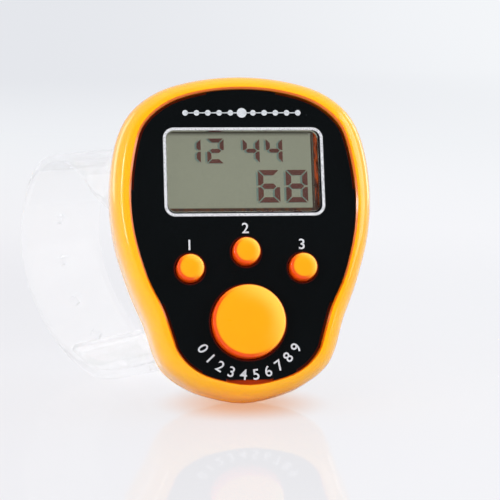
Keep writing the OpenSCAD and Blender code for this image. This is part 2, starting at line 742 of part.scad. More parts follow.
// Side view of the strap as [u, height], first through the pocket, then round the loop
function from_body(y, z) = placed(y, z) - [start_y, 0];
low_mid_y = strap_mid_y + low_bend_r;
low_mid_z = exit_low_z + low_bend_r;
top_start_z = bridge_top - top_bend_lead;
pocket_run = concat([from_body(case_d + exit_run, exit_low_z)],
    [for (k = [0 : bend_steps]) let (a = 90 * k / bend_steps)
        from_body(low_mid_y - low_bend_r * sin(a), low_mid_z - low_bend_r * cos(a))],
    [for (k = [0 : bend_steps]) let (a = top_turn * k / bend_steps)
        from_body(strap_mid_y + top_bend_r * (1 - cos(a)), top_start_z + top_bend_r * sin(a))]);
turn_end = [strap_mid_y + top_bend_r * (1 - cos(top_turn)), top_start_z + top_bend_r * sin(top_turn)];
way_out = (case_d + exit_run - turn_end.x) / sin(top_turn);
top_exit = from_body(case_d + exit_run, turn_end.y + way_out * cos(top_turn));
function loop_run(low) = let (p = concat([from_body(turn_end.x, turn_end.y), top_exit],
        [for (s = loop_shares) [s.x * loop_reach, low + s.y * loop_rise]]), n = len(p))
    [for (i = [1 : n - 2], k = [0 : strap_steps - 1])
        eased(p[i - 1], p[i], p[i + 1], p[min(i + 2, n - 1)], k / strap_steps)];
outer_run = loop_run(strap_t / 2 - min([for (q = loop_run(0)) q.y]));

// The short end lies inside the loose end, one thickness further in
function lifted(p, i) = let (t = p[min(i + 1, len(p) - 1)] - p[max(i - 1, 0)])
    p[i] + (strap_t + layer_gap) * [t.y, -t.x] / norm(t);
function passed(share) = [for (i = [len(outer_run) / 2 : len(outer_run) - 1])
    if (outer_run[i].x < share * loop_reach) i][0];
lap_start = passed(lap_share);
lap_run = [for (i = [lap_start : len(outer_run) - 1]) lifted(outer_run, i)];
lap_end = lap_run[len(lap_run) - 1];
inner_run = concat(lap_run, [for (k = [1 : bend_steps - 1])
    lap_end + (pocket_run[0] - lap_end) * k / bend_steps]);
strap_run = concat(inner_run, pocket_run, outer_run);

function in_space(q) = [plan(q.x).x, plan(q.x).y, q.y];
spine = [for (q = strap_run) in_space(q)];
function along(p, i) = let (t = p[min(i + 1, len(p) - 1)] - p[max(i - 1, 0)]) t / norm(t);
function upright(i) = let (n = cross(across(strap_run[i].x), along(spine, i))) n / norm(n);

// Places of the holes, counted back along the strap from the stud
outer_spine = [for (q = outer_run) in_space(q)];
outer_first = len(inner_run) + len(pocket_run);
steps = [for (i = [1 : len(outer_spine) - 1]) norm(outer_spine[i] - outer_spine[i - 1])];
lengths = [for (i = 0, s = 0; i < len(outer_spine); s = s + (i < len(steps) ? steps[i] : 0), i = i + 1) s];
stud_i = passed(stud_share);
function nearest(s) = [for (i = [1 : len(lengths) - 1]) if (lengths[i] >= s) i][0];
function hole_at(s) = let (j = nearest(s), f = (s - lengths[j - 1]) / (lengths[j] - lengths[j - 1]))
    [outer_spine[j - 1] + (outer_spine[j] - outer_spine[j - 1]) * f, upright(outer_first + j)];
holes = [for (k = [0 : hole_count - 1]) hole_at(lengths[stud_i] - k * hole_pitch)];
lap_lift = (in_space(lap_run[stud_i - lap_start]) - outer_spine[stud_i]) * holes[0][1];

module aimed(place) translate(place[0])
    rotate([0, acos(place[1].z), atan2(place[1].y, place[1].x)]) children();

// One band: the short end, the stretch in the pocket, the loop and the loose end
module strap() color("white", 0.4) difference() {
    n = len(spine);
    points = [for (i = [0 : n - 1])
        let (w = across(strap_run[i].x) * strap_w / 2, h = upright(i) * strap_t / 2)
        each [spine[i] - w - h, spine[i] + w - h, spine[i] + w + h, spine[i] - w + h]];
    sides = [for (i = [0 : n - 2], k = [0 : 3]) let (a = 4 * i, b = a + 4, m = (k + 1) % 4)
        each [[a + k, b + m, b + k], [a + k, a + m, b + m]]];
    polyhedron(points, concat([[3, 2, 1], [3, 1, 0]], sides,
        [[4 * n - 4, 4 * n - 3, 4 * n - 2], [4 * n - 4, 4 * n - 2, 4 * n - 1]]));
    for (k = [0 : hole_count - 1]) aimed(holes[k])
        translate([0, 0, -strap_t]) cylinder(r = hole_dia / 2, h = 2 * strap_t + lap_lift, $fn = 24);
    aimed(holes[0]) for (z = [-strap_t / 2 - seat_d, lap_lift + strap_t / 2])
        translate([0, 0, z]) cylinder(r = stud_head_r + fit_gap, h = seat_d);
}

// Stud through both layers of the strap, with a head on each side
module strap_stud() color("white") aimed(holes[0]) {
    low = -strap_t / 2 - slack;
    top = lap_lift + strap_t / 2 + slack;
    edge = stud_head_t / 2;
    rotate_extrude() polygon([[0, low - stud_head_t], [stud_head_r - edge, low - stud_head_t],
        [stud_head_r, low - edge], [stud_head_r, low], [stud_r, low], [stud_r, top],
        [stud_head_r, top], [stud_head_r, top + edge], [stud_head_r - edge, top + stud_head_t],
        [0, top + stud_head_t]]);
}

front_case();
rear_case();
face_plate();
plate_adhesive();
window_lens();
lcd_front_polariser();
lcd_front_glass();
lcd_figures();
lcd_rear_glass();
lcd_rear_polariser();
backlight_panel();
backlight_led();
contact_strip();
circuit_board();
chip_cover();
clock_crystal();
capacitors();
resistors();
count_key();
mode_key();
set_key();
light_key();
keypad_sheet();
count_dome();
mode_dome();
set_dome();
light_dome();
count_pill();
mode_pill();
set_pill();
light_pill();
button_cell();
positive_contact();
negative_contact();
battery_door();
battery_door_screw();
case_screws();
board_screws();
strap();
strap_stud();
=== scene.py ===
import math
import bmesh
import bpy
from mathutils import Matrix, Vector


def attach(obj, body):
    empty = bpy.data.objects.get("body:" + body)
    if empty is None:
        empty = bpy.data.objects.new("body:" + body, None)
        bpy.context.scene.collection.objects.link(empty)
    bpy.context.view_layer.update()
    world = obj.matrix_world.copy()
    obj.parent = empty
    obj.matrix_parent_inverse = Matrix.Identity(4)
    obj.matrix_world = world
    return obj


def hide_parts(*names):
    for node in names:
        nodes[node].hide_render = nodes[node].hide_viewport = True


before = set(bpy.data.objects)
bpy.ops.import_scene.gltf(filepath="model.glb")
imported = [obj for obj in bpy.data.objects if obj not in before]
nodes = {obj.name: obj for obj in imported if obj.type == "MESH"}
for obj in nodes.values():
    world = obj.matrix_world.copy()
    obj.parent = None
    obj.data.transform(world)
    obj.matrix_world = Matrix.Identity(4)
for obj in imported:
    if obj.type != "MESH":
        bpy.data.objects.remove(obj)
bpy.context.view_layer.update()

scene = bpy.context.scene
scene.view_settings.view_transform = "Standard"
mm = 0.001

# Camera, at the photograph's angle
shot = {"place": (-0.026717, -0.222296, 0.049777), "turn": (82.316, -0.378, -7.04), "lens": 129.6,
        "sensor": 36, "nearest": 0.01, "farthest": 20}
cameraData = bpy.data.cameras.new("camera")
cameraData.lens, cameraData.sensor_width = shot["lens"], shot["sensor"]
cameraData.clip_start, cameraData.clip_end = shot["nearest"], shot["farthest"]
camera = bpy.data.objects.new("camera", cameraData)
camera.location = shot["place"]
camera.rotation_euler = [math.radians(a) for a in shot["turn"]]
scene.collection.objects.link(camera)
scene.camera = camera
print("camera placed")

# The case leans back on its heel: place of the plate's own frame (X across, Y into the case, Z up the plate)
stance = {"lean": 18, "heel": (0, -2.788, 22.19)}
leaning = Matrix.Rotation(math.radians(-stance["lean"]), 4, "X")
standing = Matrix.Translation(Vector(stance["heel"]) * mm) @ leaning


def offCase(spot):
    return standing.inverted() @ spot / mm


# A colour as it is seen on a screen, turned into light
def tone(red, green, blue):
    return tuple(c / 3294.6 if c <= 10.3 else ((c / 255 + 0.055) / 1.055) ** 2.4 for c in (red, green, blue))


# Shader maths: a wire is one output of a node, and sums on wires add Math nodes
class Wire:
    def __init__(self, finish, socket):
        self.finish, self.socket = finish, socket

    def calc(self, kind, *others):
        return self.finish.wire("ShaderNodeMath", {"operation": kind}, dict(enumerate((self,) + others)))

    def __add__(self, other):
        return self.calc("ADD", other)

    def __sub__(self, other):
        return self.calc("SUBTRACT", other)

    def __rsub__(self, other):
        return self * -1 + other

    def __mul__(self, other):
        return self.calc("MULTIPLY", other)

    def __truediv__(self, other):
        return self.calc("DIVIDE", other)

    def __lt__(self, other):
        return self.calc("LESS_THAN", other)

    def __gt__(self, other):
        return self.calc("GREATER_THAN", other)

    __radd__ = __add__
    __rmul__ = __mul__

    def between(self, low, high):
        return self.finish.wire("ShaderNodeMapRange", {"interpolation_type": "SMOOTHSTEP"},
                                {"Value": self, "From Min": low, "From Max": high})

    # The same with its limits in millimetres
    def span(self, low, high):
        return self.between(low * mm, high * mm)

    # A noise pulled apart into patches
    def patchy(self):
        return self.between(0.3, 0.7)


class Finish:
    def __init__(self, name, values):
        self.material = bpy.data.materials.new(name)
        self.material.use_nodes = True
        self.tree = self.material.node_tree
        self.tree.nodes.clear()
        self.end = self.tree.nodes.new("ShaderNodeOutputMaterial")
        self.shader = self.node("ShaderNodeBsdfPrincipled", {}, values)
        self.show(self.shader.outputs[0])

    def node(self, kind, settings, values):
        made = self.tree.nodes.new(kind)
        for name, value in settings.items():
            setattr(made, name, value)
        for name, value in values.items():
            self.feed(made.inputs[name], value)
        return made

    def wire(self, kind, settings, values, output=0):
        return Wire(self, self.node(kind, settings, values).outputs[output])

    def feed(self, socket, value):
        if isinstance(value, Wire):
            self.tree.links.new(value.socket, socket)
        elif isinstance(value, (tuple, list, Vector)) and len(value) == 3 and socket.type == "RGBA":
            socket.default_value = (*value, 1)
        else:
            socket.default_value = value

    def show(self, socket):
        self.tree.links.new(socket, self.end.inputs["Surface"])

    def set(self, name, value):
        self.feed(self.shader.inputs[name], value)

    def coords(self, stretch=(1, 1, 1)):
        spot = self.wire("ShaderNodeTexCoord", {}, {}, "Object")
        return self.wire("ShaderNodeMapping", {}, {"Vector": spot, "Scale": stretch})

    def caseCoords(self):
        spot = self.wire("ShaderNodeTexCoord", {}, {}, "Object")
        turn = Matrix.Rotation(math.radians(stance["lean"]), 3, "X")
        return self.wire("ShaderNodeMapping", {}, {
            "Vector": spot, "Rotation": (math.radians(stance["lean"]), 0, 0),
            "Location": turn @ (Vector(stance["heel"]) * -mm)})

    def split(self, vector):
        parts = self.node("ShaderNodeSeparateXYZ", {}, {"Vector": vector})
        return [Wire(self, out) for out in parts.outputs]

    def grain(self, size, detail=2, stretch=(1, 1, 1)):
        return self.wire("ShaderNodeTexNoise", {}, {
            "Vector": self.coords(stretch), "Scale": 1 / (size * mm), "Detail": detail})

    def spots(self, size):
        return self.wire("ShaderNodeTexVoronoi", {}, {"Vector": self.coords(), "Scale": 1 / (size * mm)})

    def mix(self, share, first, second):
        return self.wire("ShaderNodeMix", {"data_type": "RGBA"}, {0: share, 6: first, 7: second}, 2)

    def bump(self, height, depth, share):
        values = {"Height": height, "Distance": depth * mm, "Strength": share}
        return self.wire("ShaderNodeBump", {}, values)


# Steps across and up the plate from a middle, and the distance that they make
def offMiddle(x, z, middle):
    offX, offZ = x - middle[0] * mm, z - middle[1] * mm
    return offX, offZ, (offX * offX + offZ * offZ).calc("SQRT")


def largest(wires):
    top = wires[0]
    for wire in wires[1:]:
        top = top.calc("MAXIMUM", wire)
    return top


# Glossy orange shell plastic: faint clouding, fine polish marks, a painted red-orange glow and painted shade
# in the recess, and a painted warm glow of bounced light at the foot
shellLook = {
    "skin": (tone(255, 179, 8), tone(255, 184, 12)), "lip": tone(238, 84, 4), "pitShade": tone(112, 26, 4),
    "lowPitShade": tone(206, 66, 14), "foot": (1, 0.28, 0), "lipDepth": (-0.5, 0.05), "lowPitZ": (-17.6, -17.1),
    "footZ": (-20.4, -17.2), "cloud": 7, "fine": 0.5, "rough": 0.12, "roughSpread": 0.08, "bump": 0.004,
    "bumpShare": 0.5,
    "shader": {"Coat Weight": 0.3, "Coat Roughness": 0.05, "Specular IOR Level": 0.4, "IOR": 1.5,
               "Subsurface Weight": 0.12, "Subsurface Radius": (1.0, 0.4, 0.05), "Subsurface Scale": 1.2 * mm,
               "Emission Strength": 0.16}}


def shellPlastic(name, look):
    finish = Finish(name, look["shader"])
    cloud, fine = finish.grain(look["cloud"], 3), finish.grain(look["fine"], 3)
    inside = finish.wire("ShaderNodeAttribute", {"attribute_name": "inside"}, {}, "Fac")
    skin = finish.mix(cloud.patchy(), *look["skin"])
    x, y, z = finish.split(finish.caseCoords())
    # Painted shade deeper in the recess, paler at its bottom, and a painted red-orange glow on its wall, for
    # the faces marked inside
    sunkenShade = finish.mix(z.span(*look["lowPitZ"]), look["lowPitShade"], look["pitShade"])
    recessGlowAndShade = finish.mix(y.span(*look["lipDepth"]), look["lip"], sunkenShade)
    # Painted warm glow at the foot, standing in for light bounced up from the floor
    foot = finish.mix(z.span(*look["footZ"]), look["foot"], (0, 0, 0))
    finish.set("Base Color", finish.mix(inside, skin, recessGlowAndShade))
    # Painted light: the faces marked inside glow with the recess's painted colours, the others with the
    # painted warm glow at the foot
    finish.set("Emission Color", finish.mix(inside, foot, recessGlowAndShade))
    finish.set("Roughness", fine * look["roughSpread"] + look["rough"])
    finish.set("Normal", finish.bump(fine, look["bump"], look["bumpShare"]))
    return finish


orangeShell = shellPlastic("orangeShell", shellLook)

# Key plastic: painted shade on the red sides and lower left rim, and a painted highlight making the crown
# paler towards the upper right
keyLook = {
    "cap": (tone(255, 172, 8), tone(255, 163, 5)), "crownHighlight": tone(255, 206, 78), "side": tone(250, 122, 8),
    "ring": tone(240, 78, 2), "past": 0.3, "rimFrom": 0.16, "rimTo": 0.06, "rimShare": 0.85,
    "ringFrom": 0.55, "ringTo": 0.3, "ringSide": (-0.5, 0.3), "crownFrom": 0.35, "crownTo": 0.1,
    "crownSide": (-0.1, 0.9), "sideFrom": 0.2, "sideTo": 0.55, "slant": 0.6, "slantLength": 1.17,
    "cloud": 4, "cloudShare": 0.4, "cloudFrom": 0.3, "fine": 0.35, "rough": 0.24, "roughSpread": 0.12,
    "bump": 0.006, "bumpShare": 0.6,
    "shader": {"Coat Weight": 0.1, "Coat Roughness": 0.1, "Specular IOR Level": 0.3, "IOR": 1.5,
               "Subsurface Weight": 0.15, "Subsurface Radius": (1.0, 0.35, 0.05), "Subsurface Scale": 1 * mm}}
largeSpot = {"middles": [(0, -11.28)], "radius": 4.52, "proud": 1.8}
smallSpots = {"middles": [(-7, -4.55), (0, -2.52), (7, -4.55)], "radius": 1.7, "proud": 1.5}


def keyPlastic(name, spots, look):
    finish = Finish(name, look["shader"])
    fine, cloud = finish.grain(look["fine"], 3), finish.grain(look["cloud"], 2)
    x, y, z = finish.split(finish.caseCoords())
    radius, top = spots["radius"], -spots["proud"]
    rings, crownHighlights = [], []
    for middle in spots["middles"]:
        offX, offZ, reach = offMiddle(x, z, middle)
        side = (offX + offZ * look["slant"]) / (radius * look["slantLength"] * mm)
        near = reach < (radius + look["past"]) * mm
        # Painted shade: a thin red ring all round the cap's edge and a wider one on its lower left
        rimShade = reach.span(radius - look["rimFrom"], radius - look["rimTo"]) * near
        ring = reach.span(radius - look["ringFrom"], radius - look["ringTo"]) * near
        lowerShade = ring * (1 - side.between(*look["ringSide"]))
        rings.append(lowerShade.calc("MAXIMUM", rimShade * look["rimShare"]))
        # Painted highlight: the crown paler towards the upper right
        crownHighlight = reach.span(radius * look["crownFrom"], radius - look["crownTo"]) * near
        crownHighlights.append(crownHighlight * side.between(*look["crownSide"]))
    # Painted shade: the sides redder below the cap's top
    sideShadeMask = y.span(top + look["sideFrom"], top + look["sideTo"])
    cap = finish.mix((cloud - 0.5) * look["cloudShare"] + look["cloudFrom"], *look["cap"])
    lifted = finish.mix(largest(crownHighlights), cap, look["crownHighlight"])
    sided = finish.mix(sideShadeMask, lifted, look["side"])
    finish.set("Base Color", finish.mix(largest(rings), sided, look["ring"]))
    finish.set("Roughness", fine * look["roughSpread"] + look["rough"])
    finish.set("Normal", finish.bump(fine, look["bump"], look["bumpShare"]))
    return finish


largeKey = keyPlastic("largeKeyPlastic", largeSpot, keyLook)
smallKey = keyPlastic("smallKeyPlastic", smallSpots, keyLook)

# Black glossy face plate: its silver line round the window, and a painted orange glow of the keys in the lips
# of its holes
plateLook = {
    "middle": (0.1, 7.67), "half": (9.87, 5.47), "corner": 1.2, "width": 0.37, "frontDepth": 0.3,
    "ragged": 0.05, "inner": 0.05, "outer": 0.03, "dark": (tone(6, 9, 10), tone(11, 14, 16)),
    "mote": tone(90, 95, 98), "moteShare": 0.35, "lip": tone(94, 22, 6), "lipFrom": 0.1, "lipTo": 0.42,
    "silver": (tone(186, 187, 190), tone(236, 236, 238)), "silverRough": 0.25, "silverMetal": 0.15,
    "speck": 0.16, "wear": 9, "motes": 2.2, "moteSize": (0.02, 0.035), "rough": 0.1, "roughSpread": 0.06,
    "grain": 0.7, "grainShare": 0.3, "bump": 0.004, "bumpShare": 0.5}


def plateBlack(look):
    finish = Finish("plateBlack", {"IOR": 1.5, "Specular IOR Level": 0.4})
    x, y, z = finish.split(finish.caseCoords())
    mid, half, corner = look["middle"], look["half"], look["corner"]
    overX = (x - mid[0] * mm).calc("ABSOLUTE") - (half[0] - corner) * mm
    overZ = (z - mid[1] * mm).calc("ABSOLUTE") - (half[1] - corner) * mm
    outX, outZ = overX.calc("MAXIMUM", 0), overZ.calc("MAXIMUM", 0)
    within = overX.calc("MAXIMUM", overZ).calc("MINIMUM", 0)
    away = (outX * outX + outZ * outZ).calc("SQRT") + within - corner * mm
    speck, wear = finish.grain(look["speck"], 2), finish.grain(look["wear"], 3)
    edge = away.calc("ABSOLUTE") + (speck - 0.5) * look["ragged"] * mm
    outline = 1 - edge.span(look["width"] / 2 - look["inner"], look["width"] / 2 + look["outer"])
    line = outline * (y < look["frontDepth"] * mm)
    motes = 1 - finish.spots(look["motes"]).between(*look["moteSize"])
    dusty = finish.mix(motes * look["moteShare"], finish.mix(wear, *look["dark"]), look["mote"])
    # Painted glow: the keys' orange light on the lips round their holes
    lips = []
    for spots in (largeSpot, smallSpots):
        for middle in spots["middles"]:
            offX, offZ, reach = offMiddle(x, z, middle)
            lips.append(1 - reach.span(spots["radius"] + look["lipFrom"], spots["radius"] + look["lipTo"]))
    lipped = finish.mix(largest(lips), dusty, look["lip"])
    silver = finish.mix(speck.between(0.3, 0.6), *look["silver"])
    finish.set("Base Color", finish.mix(line, lipped, silver))
    finish.set("Metallic", line * look["silverMetal"])
    finish.set("Roughness", wear * look["roughSpread"] + look["rough"] + line * look["silverRough"])
    scratched = speck * line + finish.grain(look["grain"], 3) * look["grainShare"]
    finish.set("Normal", finish.bump(scratched, look["bump"], look["bumpShare"]))
    return finish


plateFinish = plateBlack(plateLook)

# Clear parts let lamps through to what is behind them, and a faint one is partly not there to any ray
clearLook = {"roughSpread": 0.03, "bumpShare": 0.3}


def clearFinish(name, tint, rough, ior, ripple=0.0, faint=0.0, size=1.5):
    finish = Finish(name, {"Base Color": tint, "Transmission Weight": 1.0, "IOR": ior, "Roughness": rough})
    if ripple:
        fine = finish.grain(size, 3)
        finish.set("Roughness", fine * clearLook["roughSpread"] + rough)
        finish.set("Normal", finish.bump(fine, ripple, clearLook["bumpShare"]))
    rays = finish.wire("ShaderNodeLightPath", {}, {}, "Is Shadow Ray").calc("MAXIMUM", faint)
    clear = Wire(finish, finish.shader.outputs[0])
    through = finish.wire("ShaderNodeBsdfTransparent", {}, {"Color": tint})
    finish.show(finish.wire("ShaderNodeMixShader", {}, {0: rays, 1: clear, 2: through}).socket)
    return finish


lensFinish = clearFinish("clearLens", tone(251, 252, 250), rough=0.0, ior=1.3)
glassFinish = clearFinish("displayGlass", tone(252, 253, 251), rough=0.0, ior=1.03)
filmFinish = clearFinish("polariserFilm", tone(248, 249, 244), rough=0.0, ior=1.03)


# Plain finishes with fine variation: colours, roughness, grain and metal share
def plain(name, light, dark, size, rough, spread=0.1, metal=0.0, depth=0.005, stretch=(1, 1, 1), extra=None):
    finish = Finish(name, {"Metallic": metal, **(extra or {})})
    fine = finish.grain(size, 4, stretch)
    finish.set("Base Color", finish.mix(fine.patchy(), dark, light))
    finish.set("Roughness", fine * spread + rough)
    finish.set("Normal", finish.bump(fine, depth, 0.6))
    return finish


# Painted light: the figures and their painted shadow glow a little, as they would on the evenly lit ground
def figureFinish(name, light, dark):
    return plain(name, light, dark, size=0.2, rough=0.8, extra={
        "Specular IOR Level": 0.1, "Emission Color": (*light, 1), "Emission Strength": 0.8})


reflector = plain("displayFoil", tone(172, 174, 158), tone(166, 168, 152), size=0.25, rough=0.5, spread=0.2,
                  depth=0.004)
inkFinish = figureFinish("figureInk", tone(74, 42, 38), tone(64, 35, 33))
shadeFinish = figureFinish("figureShade", tone(84, 98, 95), tone(78, 92, 89))

# Grey-green ground of the display that glows as painted even light, with a painted shadow along its top,
# painted shade past its film, and in the right edge a painted dark line and the shell's warm wall in painted
# shade and glow
groundLook = {
    "ground": (tone(122, 123, 112), tone(127, 128, 116)), "grain": 0.25, "top": 12.75, "fade": 0.75,
    "topShade": tone(44, 40, 36), "right": 9.0, "line": 0.34, "lineFade": 0.08, "lineShade": tone(48, 34, 26),
    "warmGlow": (tone(48, 18, 8), tone(136, 54, 14)), "streak": 0.35, "streakStretch": (1, 0.2, 0.2),
    "low": 3.62, "lowShades": (tone(40, 30, 26), tone(78, 46, 26)), "glowShare": 0.88,
    "shader": {"Roughness": 0.8, "Specular IOR Level": 0.1, "Emission Strength": 1.22}}


def displayGround(look):
    finish = Finish("displayGround", look["shader"])
    x, y, z = finish.split(finish.caseCoords())
    fine = finish.grain(look["grain"], 3)
    ground = finish.mix(fine.patchy(), *look["ground"])
    # Painted shadow of the window's top edge along the top of the ground
    shaded = finish.mix(z.span(look["top"], look["top"] + look["fade"]), ground, look["topShade"])
    # Painted shade and glow: the shell's warm wall, streaked, in the right edge beyond a painted dark line
    streak = finish.grain(look["streak"], 4, look["streakStretch"])
    warmGlow = finish.mix(streak.between(0.4, 0.6), *look["warmGlow"])
    lineEnd = look["right"] + look["line"]
    edge = finish.mix(x.span(lineEnd, lineEnd + look["lineFade"]), look["lineShade"], warmGlow)
    sided = finish.mix(x > look["right"] * mm, shaded, edge)
    # Painted shade in the strip below the film
    lowShadeStrip = finish.mix(streak.patchy(), *look["lowShades"])
    whole = finish.mix(z < look["low"] * mm, sided, lowShadeStrip)
    # Painted light: the ground mostly glows its colour instead of taking the lamps' light
    finish.set("Base Color", finish.mix(look["glowShare"], whole, (0, 0, 0)))
    finish.set("Emission Color", whole)
    return finish


groundFinish = displayGround(groundLook)
finishes = {
    "orange_plastic": orangeShell, "key_plastic": smallKey, "black_plate": plateFinish,
    "clear_lens": lensFinish, "display_glass": glassFinish, "polariser_film": filmFinish,
    "figure_ink": inkFinish,
    "adhesive": plain("adhesive", tone(60, 52, 48), tone(40, 34, 32), size=0.4, rough=0.7),
    "light_panel": plain("lightPanel", tone(226, 232, 226), tone(212, 220, 214), size=0.8, rough=0.3),
    "led_body": plain("lampBody", tone(242, 236, 196), tone(230, 222, 176), size=0.3, rough=0.3),
    "zebra_rubber": plain("stripRubber", tone(78, 78, 82), tone(44, 44, 48), size=0.05, rough=0.7,
                          stretch=(1, 0.02, 0.02)),
    "board_green": plain("boardGreen", tone(30, 96, 52), tone(20, 76, 40), size=0.35, rough=0.3, spread=0.15),
    "black_resin": plain("blackResin", tone(30, 30, 32), tone(18, 18, 20), size=0.5, rough=0.35, spread=0.25,
                         depth=0.02),
    "ceramic_parts": plain("chipParts", tone(170, 140, 104), tone(140, 112, 80), size=0.2, rough=0.4),
    "cell_metal": plain("cellMetal", tone(206, 208, 212), tone(184, 187, 192), size=0.15, rough=0.22,
                        spread=0.12, metal=1, depth=0.002, stretch=(1, 1, 0.1)),
    "steel": plain("screwSteel", tone(196, 196, 200), tone(166, 167, 172), size=0.2, rough=0.25, spread=0.15,
                   metal=1, depth=0.003),
    "contact_brass": plain("contactBrass", tone(222, 190, 120), tone(196, 160, 92), size=0.25, rough=0.22,
                           spread=0.15, metal=1, depth=0.003),
    "dome_rubber": plain("domeRubber", tone(206, 206, 202), tone(190, 190, 188), size=0.3, rough=0.55,
                         spread=0.15),
    "carbon_rubber": plain("carbonRubber", tone(34, 34, 36), tone(22, 22, 24), size=0.15, rough=0.7),
}
print("finishes made")


# A moulded copy of a solid: its triangles merged, its faces smoothed and its corners eased
moulding = {"weld": 0.002, "sliver": 0.001, "flat": 0.5, "steps": 2}


def eased(nodeName, pieceName, body, finish, look):
    bm = bmesh.new()
    bm.from_mesh(nodes[nodeName].data)
    bmesh.ops.remove_doubles(bm, verts=bm.verts, dist=moulding["weld"] * mm)
    bmesh.ops.dissolve_degenerate(bm, edges=bm.edges, dist=moulding["sliver"] * mm)
    bmesh.ops.dissolve_limit(bm, angle_limit=math.radians(moulding["flat"]), verts=bm.verts, edges=bm.edges)
    bm.normal_update()
    for corner in bm.verts:
        corner.co -= corner.normal * look.get("thinner", 0) * mm
    for face in bm.faces:
        face.smooth = True
    for edge in bm.edges:
        edge.smooth = edge.calc_face_angle(0) < math.radians(look["sharp"])
    if "inside" in look:
        share = bm.faces.layers.float.new("inside")
        for face in bm.faces:
            spot, facing = offCase(face.calc_center_median()), standing.to_3x3().inverted() @ face.normal
            face[share] = look["inside"](spot, facing)
    mesh = bpy.data.meshes.new(pieceName)
    bm.to_mesh(mesh)
    bm.free()
    if "custom_normal" in mesh.attributes:
        mesh.attributes.remove(mesh.attributes["custom_normal"])
    mesh.materials.append(finish.material)
    piece = bpy.data.objects.new(pieceName, mesh)
    scene.collection.objects.link(piece)
    if "edge" in look:
        soften = piece.modifiers.new("edge", "BEVEL")
        soften.width, soften.segments, soften.limit_method = look["edge"] * mm, moulding["steps"], "ANGLE"
        soften.angle_limit, soften.harden_normals = math.radians(look["sharp"]), True
    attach(piece, body)
    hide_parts(nodeName)


# How far a face of the front shell lies inside: the recess wall, its floor and everything behind it, which
# take the painted glow and shade of the recess
insideLook = {"middleZ": 2, "wallY": 1.2, "wallTurn": -0.35, "wallShare": 0.8, "level": 0.75, "floorY": 0.7,
              "backY": 0.5, "backTurn": -0.2, "core": 0.1}


def frontInside(spot, facing):
    look, offZ = insideLook, spot.z - insideLook["middleZ"]
    outward = (facing.x * spot.x + facing.z * offZ) / max(math.hypot(spot.x, offZ), look["core"])
    if spot.y < look["wallY"] and outward < look["wallTurn"] and abs(facing.y) < look["level"]:
        return look["wallShare"]
    if spot.y > look["floorY"] and abs(facing.y) > look["level"]:
        return 1.0
    return 1.0 if outward < look["backTurn"] and spot.y > look["backY"] else 0.0


eased("front_case", "frontShell", "housing", orangeShell,
      {"edge": 0.06, "sharp": 40, "inside": frontInside})
eased("rear_case", "rearShell", "housing", orangeShell,
      {"edge": 0.08, "sharp": 40, "inside": lambda spot, facing: 0.0})
eased("face_plate", "facePlate", "housing", plateFinish, {"edge": 0.08, "sharp": 40})

# The clear layers touch in the solids, so their copies are about a hundredth of a millimetre smaller all round
clearLayer = {"sharp": 12, "thinner": 0.012}
eased("window_lens", "windowLens", "housing", lensFinish, clearLayer)
eased("lcd_front_polariser", "frontFilm", "housing", filmFinish, clearLayer)
eased("lcd_front_glass", "frontGlass", "housing", glassFinish, clearLayer)
for key in ("count", "mode", "set", "light"):
    keyFinish = largeKey if key == "count" else smallKey
    eased(key + "_key", key + "Key", key + "_button", keyFinish, {"sharp": 40, "edge": 0.03})
print("shells, plate and keys made")

# Strap: the same run as the solid, as a rounded band with its row of holes
strapRun = {
    "width": 15, "thick": 1.1, "reach": 36.4, "rise": 28.7, "swing": 45, "lead": 3.7, "turnR": 1.5,
    "twist": 16.5, "gap": 0.12, "lap": 0.76, "stud": 0.4, "hole": 1.5, "pitch": 5.9, "holes": 7, "midY": 9.65,
    "lowBend": 1.25, "topBend": 2.6, "topTurn": 38, "exit": 0.6, "exitLow": -13.5, "topStart": -5.8,
    "depth": 12, "steps": 4, "row": 0.7, "columns": 14, "rounding": 0.22, "roundSteps": 3, "roundFrom": 50,
    "holeSides": 32,
    "shares": [(0.33, 0.665), (0.585, 0.818), (0.695, 0.95), (0.797, 1), (0.896, 0.958), (0.973, 0.804),
               (1, 0.573), (0.956, 0.364), (0.863, 0.186), (0.758, 0.07), (0.643, 0), (0.536, 0.003),
               (0.357, 0.05), (0.16, 0.095)]}


def sideView(y, z):
    spot = Matrix.Rotation(math.radians(-stance["lean"]), 3, "X") @ Vector((0, y, z))
    return Vector((spot.y + stance["heel"][1], spot.z + stance["heel"][2]))


def easedStep(a, b, c, d, t):
    return (2 * b + (c - a) * t + (2 * a - 5 * b + 4 * c - d) * t * t + (3 * b - a - 3 * c + d) * t ** 3) / 2


